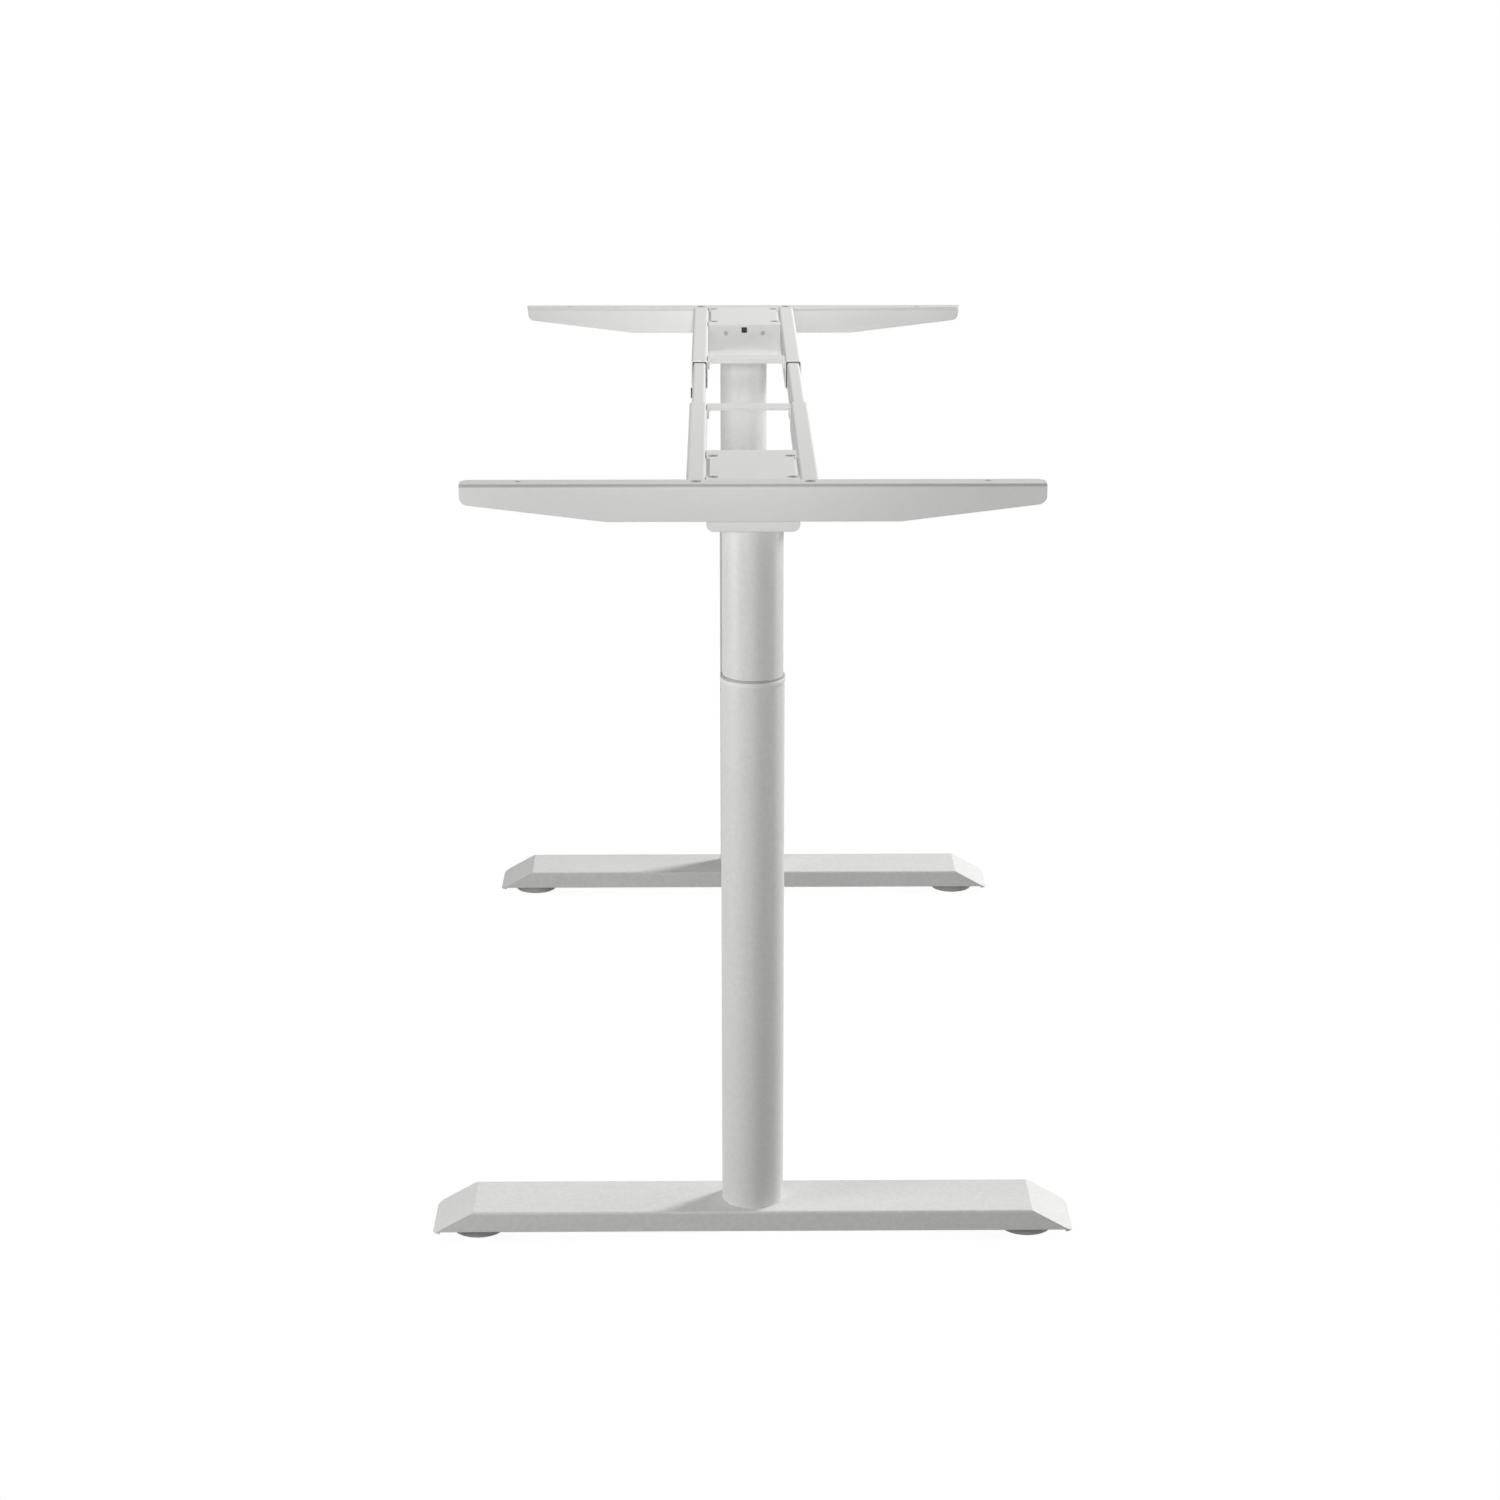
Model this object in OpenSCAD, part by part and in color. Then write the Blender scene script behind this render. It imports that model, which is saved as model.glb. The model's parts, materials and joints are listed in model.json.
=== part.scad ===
// Height-adjustable frame for a standing desk: two telescopic columns on T feet,
// joined under the table top by a crossbar that telescopes to set the frame's width.
// X runs along the feet, Y along the crossbar, Z up. The origin is on the floor, midway between the columns.

/* [Frame] */
// Height of the bracket tops above the floor, as the columns stand here
frame_h = 820.6; // [785:0.1:865]
// Distance between the two column axes, as the crossbar stands here
col_spacing = 1125; // [1060:1:1240]
// How far the columns can still rise
rise_travel = 300; // [200:5:310]
// How far the columns can still sink
sink_travel = 115; // [60:5:125]

/* [Columns] */
// Outside diameter of the lower tube
lower_tube_d = 65.4; // [60:0.2:76]
// Wall of the lower tube
lower_wall = 1.2; // [1:0.1:1.8]
// Length of the lower tube
lower_tube_len = 577.3; // [540:0.1:600]
// Wall of the upper tube
upper_wall = 1.5; // [1.2:0.1:2.5]
// Radial gap between the upper tube and the bore of the lower tube
tube_gap = 0.2; // [0.15:0.05:0.4]
// Length of tube that is still inside the other at full height
tube_overlap = 110; // [90:1:140]
// Radial running clearance of the guide collar and guide pads
guide_gap = 0.05; // [0.02:0.01:0.1]
// Height of the collar's skirt, round the outside of the lower tube
skirt_h = 3.7; // [3:0.1:6]
// Height of the collar's lip, above the lower tube's rim
lip_h = 3.3; // [2.5:0.1:6]
// Thickness of the collar's skirt
skirt_t = 0.85; // [0.6:0.05:2]
// How far the collar's lip stands out from the lower tube
lip_out = 0.3; // [0.1:0.05:0.8]
// Width of a guide pad, round the upper tube
pad_w = 22; // [14:1:30]
// Height of a guide pad
pad_h = 18; // [12:1:26]
// Guide pads in a ring
pads_round = 4; // [3:1:6]

/* [Spindle drive] */
// Diameter of the lifting spindle
spindle_d = 16; // [12:0.5:20]
// Diameter of the spindle's thrust shoulder
shoulder_d = 24; // [20:1:30]
// Thickness of the spindle's thrust shoulder
shoulder_t = 4; // [3:0.5:6]
// Radial running clearance of the spindle
spindle_gap = 0.05; // [0.02:0.01:0.1]
// Space left under the spindle when the column is all the way down
spindle_clear = 2.2; // [1.5:0.1:6]
// Outside diameter of the tube that carries the nut
nut_tube_d = 30; // [26:1:36]
// Wall of the tube that carries the nut
nut_tube_wall = 2; // [1.5:0.1:2.5]
// Length of the nut's body
nut_len = 25; // [18:1:32]
// Thickness of the nut's flange
nut_flange_t = 4; // [3:0.5:6]
// Thickness of the base plate in the lower tube
base_t = 8; // [6:0.5:12]
// Side of the gear case
gear_case_w = 64; // [60:1:70]
// Height of the gear case
gear_case_h = 32; // [26:1:34]
// Corner radius of the gear case
gear_case_r = 9; // [4:1:14]
// Depth of the spindle's bore in the gear case
gear_bore_h = 22; // [16:1:24]
// Diameter of the motor
motor_d = 40; // [34:1:42]
// Length of the motor
motor_len = 95; // [70:1:98]
// Diameter of the motor's rear bearing cap
motor_cap_d = 16; // [10:1:24]
// Length of the motor's rear bearing cap
motor_cap_h = 4; // [2:0.5:6]

/* [Feet] */
// Length of a foot
foot_len = 674; // [620:1:760]
// Width of a foot
foot_w = 82; // [76:1:100]
// Height of a foot's side flange
foot_rise = 22.5; // [20:0.5:30]
// Length of a foot's sloping end, seen from above
foot_end_len = 40; // [35:0.5:60]
// Sheet thickness of a foot
foot_t = 2.5; // [2:0.1:3]
// Outer bend radius along a foot's top edges
foot_bend_r = 3; // [2.8:0.1:5]
// Corner radius at a foot's tips, seen from above
foot_corner_r = 8; // [4:0.5:14]
// How far a foot's end tongues reach below its side flanges
tongue_drop = 2; // [0.5:0.1:2.5]
// Diameter of a foot bolt
foot_bolt_d = 8; // [6:0.5:10]
// Diameter of a foot bolt's head
foot_bolt_head_d = 14; // [12:0.5:18]
// Height of a foot bolt's head
foot_bolt_head_h = 4.5; // [3.5:0.5:8]
// Circle of the foot bolts
foot_bolt_circle = 45; // [44:1:47]
// Depth of thread in the base plate
foot_bolt_reach = 7; // [4:0.5:7]

/* [Levelling glides] */
// Height of the foot's lower edge above the floor
glide_h = 12.9; // [11:0.1:18]
// Distance of a glide's axis in from the bend where the foot's end starts to slope
glide_in = 3; // [2:0.5:30]
// Diameter of a glide's disc
glide_d = 56; // [53:1:62]
// Diameter of the flat that stands on the floor
glide_flat_d = 51; // [44:1:52]
// Height of a glide's disc
glide_disc_h = 9; // [8:0.1:10]
// Diameter of a glide's boss
glide_boss_d = 20; // [14:1:26]
// Diameter of a glide's stud
stud_d = 8; // [6:0.5:10]
// Thickness of the glide's base under the stud
stud_seat = 3; // [2:0.5:4]
// Height of the stud above the nut plate's underside
stud_reach = 11; // [9:0.5:11.5]
// Height of the nut plate's underside above the foot's lower edge
nut_plate_z = 7; // [6:0.5:8]
// Thickness of the nut plate
nut_plate_t = 2.5; // [2:0.1:3]
// Length of the nut plate, along the foot
nut_plate_len = 34; // [26:1:36]
// Height of the weld nut
weld_nut_h = 6.3; // [5:0.1:6.5]
// Width of the weld nut across its corners
weld_nut_d = 15; // [13:0.5:16]

/* [Brackets] */
// Length of a bracket
bracket_len = 584; // [540:1:640]
// Depth of a bracket's web in the middle
web_h = 37.8; // [37.5:0.1:44]
// Depth of a bracket's web at its ends
web_end_h = 20; // [18:0.5:24]
// Length of a web's tapering end
web_taper_len = 145; // [110:1:190]
// Width of a bracket's flange, from the web's outer face
flange_w = 25; // [22:0.5:30]
// Sheet thickness of a bracket
sheet_t = 2.5; // [2:0.1:3]
// Outer bend radius between web and flange
bracket_bend_r = 4; // [3.2:0.1:6]
// Radius of the web's lower end corners
web_corner_r = 9; // [4:0.5:12]
// Radius of the flange's corners, seen from above
flange_corner_r = 10; // [4:0.5:14]
// Distance from the column axis out to the web's outer face
web_out = 40; // [38:0.5:46]
// Distance of a table screw hole from the bracket's end
table_hole_end = 57.5; // [40:0.5:90]
// Diameter of a table screw hole
table_hole_d = 6.4; // [5:0.1:8]
// Distance of the table screw holes from the web's outer face
table_hole_in = 17; // [12:0.5:19]

/* [Housing] */
// Width of the housing, which sets the rails apart
housing_w = 94; // [90:1:104]
// Depth of the housing below the bracket tops
housing_h = 49; // [48:0.5:56]
// Distance from the column axis in to the housing's inner end
housing_in = 137.5; // [134:0.5:150]
// Sheet thickness of the housing
housing_t = 1.5; // [1.2:0.1:2]
// Radius of the housing's lower edges
housing_r = 8; // [5:0.5:11]
// Distance between the cover screws, across the crossbar
cover_screw_x = 80; // [78:1:82]
// Distance between the cover screws, along the crossbar
cover_screw_y = 109; // [100:1:112]
// Distance of the inner cover screws from the housing's inner end
cover_screw_in = 30.5; // [26:0.5:32]
// Depth of the notches in the cover's long sides
cover_notch = 3.5; // [2:0.1:4]
// Width of the lips that the housing folds in under its cover
lip_w = 14; // [12:0.5:15]
// Height of the upper tube that stands inside the housing
tube_stand = 9; // [6:0.5:10]
// Side of the cable socket
socket_w = 7; // [6:0.5:9]
// Depth of the cable socket
socket_len = 8; // [6:0.5:10]
// Wall of the cable socket
socket_wall = 1; // [0.8:0.1:1.5]
// Distance of the socket's centre below the bracket tops
socket_z = 6.8; // [6.6:0.1:8]
// Distance between the two screws beside the socket
face_screw_x = 48; // [36:1:60]
// Distance of those screws below the bracket tops
face_screw_z = 10.8; // [9:0.1:14]
// Diameter of those screws
face_screw_d = 3; // [2.5:0.1:4]

/* [Crossbar] */
// Width of a sleeve rail
sleeve_w = 20; // [19:0.5:24]
// Height of a sleeve rail
sleeve_h = 35; // [33:0.5:37]
// Wall of the rails
rail_wall = 1.5; // [1.2:0.1:1.8]
// Outer corner radius of a sleeve rail
sleeve_r = 3.5; // [3:0.1:5]
// Distance from the column axis in to a sleeve rail's mouth
sleeve_in = 420.5; // [390:0.5:440]
// Gap at each side of a centre rail in its sleeve
rail_side_gap = 1; // [0.3:0.1:1.2]
// Gap above a centre rail in its sleeve
rail_top_gap = 1.2; // [0.3:0.1:1.5]
// Length of a centre rail
centre_rail_len = 660; // [640:1:760]
// Width of the tie between the sleeve rails
tie_w = 32; // [24:1:40]
// Sheet thickness of the tie
tie_t = 2.3; // [1.5:0.1:3]
// Depth of the tie's lip
tie_lip = 5; // [3:0.5:8]
// Depth of the tie's end tabs
tie_tab = 12; // [9:0.5:20]
// Radius inside the tie's folds
tie_r = 3; // [1.5:0.5:5]
// Distance from a sleeve rail's mouth back to the tie
tie_back = 8.5; // [2:0.5:20]
// Diameter of a lock screw's head
lock_head_d = 14; // [10:0.5:15]
// Height of a lock screw's head
lock_head_h = 12; // [6:0.5:14]
// Distance of a lock screw from the sleeve rail's mouth
lock_back = 9; // [8:0.5:14]
// How far a lock screw stands outward of the rail's middle
lock_out = 4; // [0:0.5:4]
// Diameter of the countersunk and lock screws
screw_d = 6; // [5:0.5:6]
// Diameter of a countersunk screw's head
screw_head_d = 11; // [9.5:0.5:12]
// Length of a bracket screw
bracket_screw_len = 14; // [10:0.5:17]
// Length of a cover screw
cover_screw_len = 8; // [6:0.5:10]
// Distance of the bracket screws from the web's outer face
bracket_screw_in = 16; // [12:0.5:18]
// Length of the nut block in a sleeve rail's end
nut_block_len = 22; // [20:0.5:26]

/* [Hidden] */
$fn = 96;
// Gap between pieces that are bolted, pressed or welded together
fit_gap = 0.1;
// Gap under the motor, where it lies in the housing
seat_gap = 0.3;
// How far cuts run past the faces that they open
overrun = 1;
// Steps in a rounded corner of an outline
corner_steps = 8;
foot_top = glide_h + foot_rise;
base_top = foot_top + base_t;
lower_top = foot_top + lower_tube_len;
lower_r = lower_tube_d/2;
lower_bore_r = lower_r - lower_wall;
upper_r = lower_bore_r - tube_gap;
upper_bore_r = upper_r - upper_wall;
collar_top = lower_top + lip_h;
upper_bottom = collar_top - rise_travel - tube_overlap;
upper_top = frame_h - housing_h + tube_stand;
motor_z = frame_h - housing_h + housing_t + seat_gap + motor_d/2;
spindle_r = spindle_d/2;
nut_bottom = base_top + spindle_clear + sink_travel + rise_travel;
spindle_bottom = nut_bottom - rise_travel;
nut_tube_top = nut_bottom + nut_len;
nut_tube_bore_r = nut_tube_d/2 - nut_tube_wall;
foot_bolt_hole_r = foot_bolt_d/2 + fit_gap;
foot_flat = foot_len - 2*foot_end_len;
foot_slope = atan2(foot_rise, foot_end_len);
glide_x = foot_flat/2 - glide_in;
tongue_z = glide_h - tongue_drop;
nut_plate_bottom = glide_h + nut_plate_z;
web_flat = bracket_len - 2*web_taper_len;
web_slope = atan2(web_h - web_end_h, web_taper_len);
web_inner_y = sheet_t - web_out;
bend_end_y = bracket_bend_r - web_out;
flange_inner_y = flange_w - web_out;
rail_x = housing_w/2 + sleeve_w/2;
bore_w = sleeve_w - 2*rail_wall;
bore_h = sleeve_h - 2*rail_wall;
bore_r = sleeve_r - rail_wall;
centre_rail_w = bore_w - 2*rail_side_gap;
centre_rail_h = bore_h - rail_top_gap;
tie_front_y = sleeve_in - tie_back;
cover_front_y = flange_inner_y + fit_gap;
screw_r = screw_d/2;
screw_hole_r = screw_r + fit_gap;
screw_head_r = screw_head_d/2;

// Places a piece, drawn round the column axis with +Y towards the middle of the frame, on the near column
module near() {
    translate([0, -col_spacing/2, 0]) children();
}

// The same on the far column, as its mirror image
module far() {
    mirror([0, 1, 0]) near() children();
}

// Lifts a piece drawn downward from the bracket tops
module at_top() {
    translate([0, 0, frame_h]) children();
}

// Extrudes a section, drawn in X and Z, along Y
module along_y(y_from, y_to) {
    translate([0, y_to, 0]) rotate([90, 0, 0]) linear_extrude(y_to - y_from) children();
}

// Extrudes a section, drawn in Y and Z, along X and centred on it
module along_x(length) {
    translate([-length/2, 0, 0]) rotate([90, 0, 90]) linear_extrude(length) children();
}

// Rectangle with round corners, centred in X and hanging down from zero
module round_rect(w, h, r) {
    translate([r - w/2, -h]) square([w - 2*r, h]);
    translate([-w/2, r - h]) square([w, h - 2*r]);
    for (side = [-1, 1], z = [-r, r - h]) translate([side*(w/2 - r), z]) circle(r);
}

// Points of an arc round a centre
function arc(centre, r, from, to) = [
    for (i = [0:corner_steps])
        centre + r*[cos(from + (to - from)*i/corner_steps), sin(from + (to - from)*i/corner_steps)]
];

// Outline mirrored about the vertical axis and joined to itself
function both_sides(half) = concat(half, [for (i = [len(half) - 1:-1:0]) [-half[i][0], half[i][1]]]);

// Countersunk screw with its head at zero and its shank downward
module flat_screw(length) {
    difference() {
        union() {
            translate([0, 0, -sheet_t]) cylinder(sheet_t, screw_r, screw_head_r);
            translate([0, 0, -length]) cylinder(length - sheet_t, r = screw_r);
        }
        translate([0, 0, -sheet_t*0.8]) cylinder(sheet_t + overrun, r = screw_r*0.65, $fn = 6);
    }
}

// Hole for a countersunk screw in a sheet whose top is at zero
module flat_screw_hole() {
    translate([0, 0, -sheet_t]) cylinder(sheet_t, screw_hole_r, screw_head_r + fit_gap);
    translate([0, 0, -sheet_t - overrun]) cylinder(sheet_t + overrun, r = screw_hole_r);
    cylinder(overrun, r = screw_head_r + fit_gap);
}

// Pressed bracket under the table top, an angle with its web on the outside
module bracket() {
    corner_z = -web_end_h + web_corner_r*(1 - sin(web_slope))/cos(web_slope);
    web_half = concat(
        [[bracket_len/2, -bracket_bend_r]],
        arc([bracket_len/2 - web_corner_r, corner_z], web_corner_r, 0, web_slope - 90),
        [[web_flat/2, -web_h]]
    );
    flange_half = concat(
        [[bracket_len/2, bracket_bend_r - web_out]],
        arc([bracket_len/2 - flange_corner_r, flange_inner_y - flange_corner_r], flange_corner_r, 0, 90)
    );
    color("white") at_top() difference() {
        union() {
            along_y(-web_out, web_inner_y) polygon(both_sides(web_half));
            translate([0, 0, -sheet_t]) linear_extrude(sheet_t) polygon(both_sides(flange_half));
            translate([0, bracket_bend_r - web_out, -bracket_bend_r]) along_x(bracket_len) intersection() {
                difference() {
                    circle(bracket_bend_r);
                    circle(bracket_bend_r - sheet_t);
                }
                translate([-bracket_bend_r, 0]) square(bracket_bend_r);
            }
        }
        for (side = [-1, 1]) {
            translate([side*(bracket_len/2 - table_hole_end), table_hole_in - web_out, -sheet_t - overrun])
                cylinder(sheet_t + 2*overrun, d = table_hole_d);
            translate([side*rail_x, bracket_screw_in - web_out, 0]) flat_screw_hole();
        }
    }
}

// Section of the housing, in from its outer faces by a wall
module housing_section(wall, top) {
    half_w = housing_w/2 - wall;
    r = housing_r - wall;
    bottom = wall - housing_h;
    translate([-half_w, bottom + r]) square([2*half_w, top - bottom - r]);
    translate([r - half_w, bottom]) square([2*(half_w - r), r]);
    for (side = [-1, 1]) translate([side*(half_w - r), bottom + r]) circle(r);
}

// Places its children at the four cover screws
module at_cover_screws() {
    for (side = [-1, 1], y = [0, 1])
        translate([side*cover_screw_x/2, housing_in - cover_screw_in - y*cover_screw_y, 0]) children();
}

// Pressed pan that holds the motor and gear case and carries the rails, with lips folded in under its cover
module housing() {
    color("white") at_top() difference() {
        along_y(bend_end_y, housing_in) housing_section(0, -sheet_t);
        along_y(bend_end_y + housing_t, housing_in - housing_t) {
            housing_section(housing_t, -sheet_t - housing_t);
            translate([lip_w - housing_w/2, -housing_h/2]) square([housing_w - 2*lip_w, housing_h]);
        }
        translate([0, 0, -housing_h - overrun]) cylinder(housing_t + 2*overrun, r = upper_r + fit_gap);
        at_cover_screws() translate([0, 0, -sheet_t - housing_t - overrun])
            cylinder(housing_t + 2*overrun, r = screw_hole_r);
        translate([-socket_w/2 - fit_gap, housing_in - housing_t - overrun, -socket_z - socket_w/2 - fit_gap])
            cube([socket_w + 2*fit_gap, housing_t + 2*overrun, socket_w + 2*fit_gap]);
        at_face_screws() translate([0, 0, -housing_t - overrun])
            cylinder(housing_t + 2*overrun, d = face_screw_d + 2*fit_gap);
    }
}

// Flat cover over the housing, notched along its long sides
module cover() {
    notch_mid = housing_in - cover_screw_in - cover_screw_y/2;
    notch_len = cover_screw_y - screw_head_d;
    color("white") at_top() difference() {
        translate([-housing_w/2, cover_front_y, -sheet_t])
            cube([housing_w, housing_in - cover_front_y, sheet_t]);
        for (side = [-1, 1])
            translate([side*housing_w/2 - cover_notch, notch_mid - notch_len/2, -sheet_t - overrun])
                cube([2*cover_notch, notch_len, sheet_t + 2*overrun]);
        at_cover_screws() flat_screw_hole();
    }
}

// Places its children at the two screws beside the socket, facing in along the crossbar
module at_face_screws() {
    for (side = [-1, 1])
        translate([side*face_screw_x/2, housing_in, -face_screw_z]) rotate([-90, 0, 0]) children();
}

// The cover's countersunk screws and the two small screws beside the socket
module housing_screws() {
    head_h = face_screw_d*0.4;
    color("silver") at_top() {
        at_cover_screws() flat_screw(cover_screw_len);
        at_face_screws() {
            cylinder(head_h, d = face_screw_d*1.9);
            translate([0, 0, -face_screw_d*2]) cylinder(face_screw_d*2, d = face_screw_d);
        }
    }
}

// Socket for the motor cable, in the housing's inner end
module cable_socket() {
    color("black") at_top() translate([0, housing_in, -socket_z]) difference() {
        union() {
            translate([-socket_w/2, -socket_len, -socket_w/2]) cube([socket_w, socket_len, socket_w]);
            translate([-socket_w/2 - socket_wall, -socket_len, -socket_w/2])
                cube([socket_w + 2*socket_wall, socket_len - housing_t, socket_w]);
        }
        translate([socket_wall - socket_w/2, socket_wall - socket_len, socket_wall - socket_w/2])
            cube([socket_w - 2*socket_wall, socket_len, socket_w - 2*socket_wall]);
    }
}

// Upper tube of the column, with windows for its guide pads
module upper_tube() {
    color("white") difference() {
        translate([0, 0, upper_bottom]) cylinder(upper_top - upper_bottom, r = upper_r);
        translate([0, 0, upper_bottom - overrun])
            cylinder(upper_top - upper_bottom + 2*overrun, r = upper_bore_r);
        pad_windows(fit_gap);
    }
}

// The windows' boxes, in two rings near the upper tube's lower end
module pad_windows(gap) {
    for (ring = [0, 1], i = [0:pads_round - 1])
        rotate([0, 0, i*360/pads_round + ring*180/pads_round])
            translate([0, -pad_w/2 - gap, upper_bottom + pad_h*(0.5 + 2*ring) - gap])
                cube([lower_r, pad_w + 2*gap, pad_h + 2*gap]);
}

// Low-friction pads that stand out of the upper tube's windows
module guide_pads() {
    color("dimgray") intersection() {
        difference() {
            translate([0, 0, upper_bottom]) cylinder(4*pad_h, r = lower_bore_r - guide_gap);
            translate([0, 0, upper_bottom - overrun]) cylinder(4*pad_h + 2*overrun, r = upper_bore_r);
        }
        pad_windows(0);
    }
}

// Closed gear case over the column, with the spindle's bearing bore in its underside
module gear_case() {
    color("gray") difference() {
        translate([0, gear_case_w/2, upper_top]) linear_extrude(gear_case_h)
            round_rect(gear_case_w, gear_case_w, gear_case_r);
        translate([0, 0, upper_top - overrun]) cylinder(gear_bore_h + overrun, r = spindle_r + spindle_gap);
    }
}

// Motor lying along the housing, bolted to the gear case
module motor() {
    color("darkgray") translate([0, gear_case_w/2, motor_z]) rotate([-90, 0, 0]) {
        cylinder(motor_len, d = motor_d);
        translate([0, 0, motor_len]) cylinder(motor_cap_h, d = motor_cap_d);
    }
}

// Lifting spindle with its thrust shoulder under the gear case
module spindle() {
    shoulder_z = upper_top - spindle_gap - shoulder_t;
    color("silver") {
        translate([0, 0, spindle_bottom])
            cylinder(upper_top + gear_bore_h - shoulder_t/2 - spindle_bottom, r = spindle_r);
        translate([0, 0, shoulder_z]) cylinder(shoulder_t, d = shoulder_d);
    }
}

// Outer rail of the crossbar, coped at its outer end for the bracket's flange
module sleeve(side) {
    color("white") at_top() translate([side*rail_x, 0, 0]) difference() {
        along_y(bend_end_y, sleeve_in) round_rect(sleeve_w, sleeve_h, sleeve_r);
        translate([0, 0, -rail_wall]) along_y(bend_end_y - overrun, sleeve_in + overrun)
            round_rect(bore_w, bore_h, bore_r);
        translate([-sleeve_w, bend_end_y - overrun, -sheet_t])
            cube([2*sleeve_w, cover_front_y - bend_end_y + overrun, sheet_t + overrun]);
        translate([side*lock_out, sleeve_in - lock_back, -sleeve_h - overrun])
            cylinder(rail_wall + 2*overrun, r = screw_hole_r);
    }
}

// Threaded blocks in the sleeve rails' outer ends, for the bracket screws
module nut_blocks() {
    color("silver") at_top() for (side = [-1, 1]) translate([side*rail_x, 0, 0]) difference() {
        intersection() {
            translate([0, 0, -rail_wall]) along_y(bend_end_y, bend_end_y + nut_block_len)
                round_rect(bore_w - fit_gap, bore_h, bore_r);
            translate([-sleeve_w, bend_end_y, -sleeve_h])
                cube([2*sleeve_w, nut_block_len, sleeve_h - sheet_t]);
        }
        translate([0, bracket_screw_in - web_out, -bracket_screw_len - overrun])
            cylinder(bracket_screw_len, r = screw_hole_r);
    }
}

// Countersunk screws that hold the bracket on the rails
module bracket_screws() {
    color("silver") at_top() for (side = [-1, 1])
        translate([side*rail_x, bracket_screw_in - web_out, 0]) flat_screw(bracket_screw_len);
}

// Lock screws under the sleeve rails' mouths
module lock_screws() {
    socket_depth = lock_head_h/2;
    color("dimgray") at_top() for (side = [-1, 1])
        translate([side*(rail_x + lock_out), sleeve_in - lock_back, -sleeve_h]) difference() {
            union() {
                translate([0, 0, -lock_head_h]) cylinder(lock_head_h, d = lock_head_d);
                cylinder(rail_wall - fit_gap, r = screw_r);
            }
            translate([0, 0, -lock_head_h - overrun])
                cylinder(socket_depth + overrun, d = lock_head_d/2, $fn = 6);
        }
}

// Folded tie between the two sleeve rails, with its lip to the middle of the frame
module tie() {
    tie_back_y = tie_front_y - tie_w;
    color("white") at_top() {
        translate([-housing_w/2, tie_back_y, -tie_t]) cube([housing_w, tie_w, tie_t]);
        translate([-housing_w/2, tie_front_y - tie_t, -tie_lip]) cube([housing_w, tie_t, tie_lip]);
        along_y(tie_back_y, tie_front_y) for (side = [-1, 1]) {
            translate([side*(housing_w/2 - tie_t/2) - tie_t/2, -tie_tab]) square([tie_t, tie_tab]);
            translate([side*(housing_w/2 - tie_t), -tie_t]) difference() {
                translate([-tie_r, -tie_r]) square(2*tie_r);
                translate([-side*tie_r, -tie_r]) circle(tie_r);
                translate([side > 0 ? 0 : -overrun - tie_r, -overrun - tie_r])
                    square([overrun + tie_r, 2*(overrun + tie_r)]);
                translate([-overrun - tie_r, 0]) square(2*(overrun + tie_r));
            }
        }
    }
}

// Lower tube of the column, standing on the foot
module lower_tube() {
    color("white") difference() {
        translate([0, 0, foot_top]) cylinder(lower_tube_len, r = lower_r);
        translate([0, 0, foot_top - overrun]) cylinder(lower_tube_len + 2*overrun, r = lower_bore_r);
    }
}

// Guide collar that caps the lower tube: a skirt outside the tube and a lip round the upper tube
module collar() {
    color("lightgray") translate([0, 0, lower_top]) rotate_extrude() {
        translate([upper_r + guide_gap, 0]) square([lower_r + lip_out - upper_r - guide_gap, lip_h]);
        translate([lower_r + guide_gap, -skirt_h]) square([skirt_t, skirt_h]);
        translate([lower_r, 0]) square([guide_gap + skirt_t, lip_h/4]);
    }
}

// Thick plate inside the lower tube's foot, tapped for the foot bolts
module base_plate() {
    color("gray") difference() {
        translate([0, 0, foot_top]) cylinder(base_t, r = lower_bore_r - fit_gap);
        at_foot_bolts() translate([0, 0, foot_top - overrun])
            cylinder(base_t + 2*overrun, r = foot_bolt_hole_r);
    }
}

// Places its children at the foot bolts, clear of the foot's long axis
module at_foot_bolts() {
    for (i = [0:3]) rotate([0, 0, 45 + i*90]) translate([foot_bolt_circle/2, 0, 0]) children();
}

// Tube that stands on the base plate and carries the nut
module nut_tube() {
    color("gray") difference() {
        translate([0, 0, base_top]) cylinder(nut_tube_top - base_top, d = nut_tube_d);
        translate([0, 0, base_top - overrun])
            cylinder(nut_tube_top - base_top + 2*overrun, r = nut_tube_bore_r);
    }
}

// Flanged nut in the top of its tube
module spindle_nut() {
    color("ivory") difference() {
        union() {
            translate([0, 0, nut_bottom]) cylinder(nut_len, r = nut_tube_bore_r - fit_gap/2);
            translate([0, 0, nut_tube_top]) cylinder(nut_flange_t, d = nut_tube_d);
        }
        translate([0, 0, nut_bottom - overrun])
            cylinder(nut_len + nut_flange_t + 2*overrun, r = spindle_r + spindle_gap);
    }
}

// Side view of a foot between two heights, in from its outer faces by a wall
module foot_side(wall, bottom) {
    top_z = foot_top - wall;
    top_x = foot_flat/2 - wall*tan(foot_slope/2);
    end_x = top_x + (top_z - bottom)/tan(foot_slope);
    polygon(both_sides([[end_x, bottom], [top_x, top_z]]));
}

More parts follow.
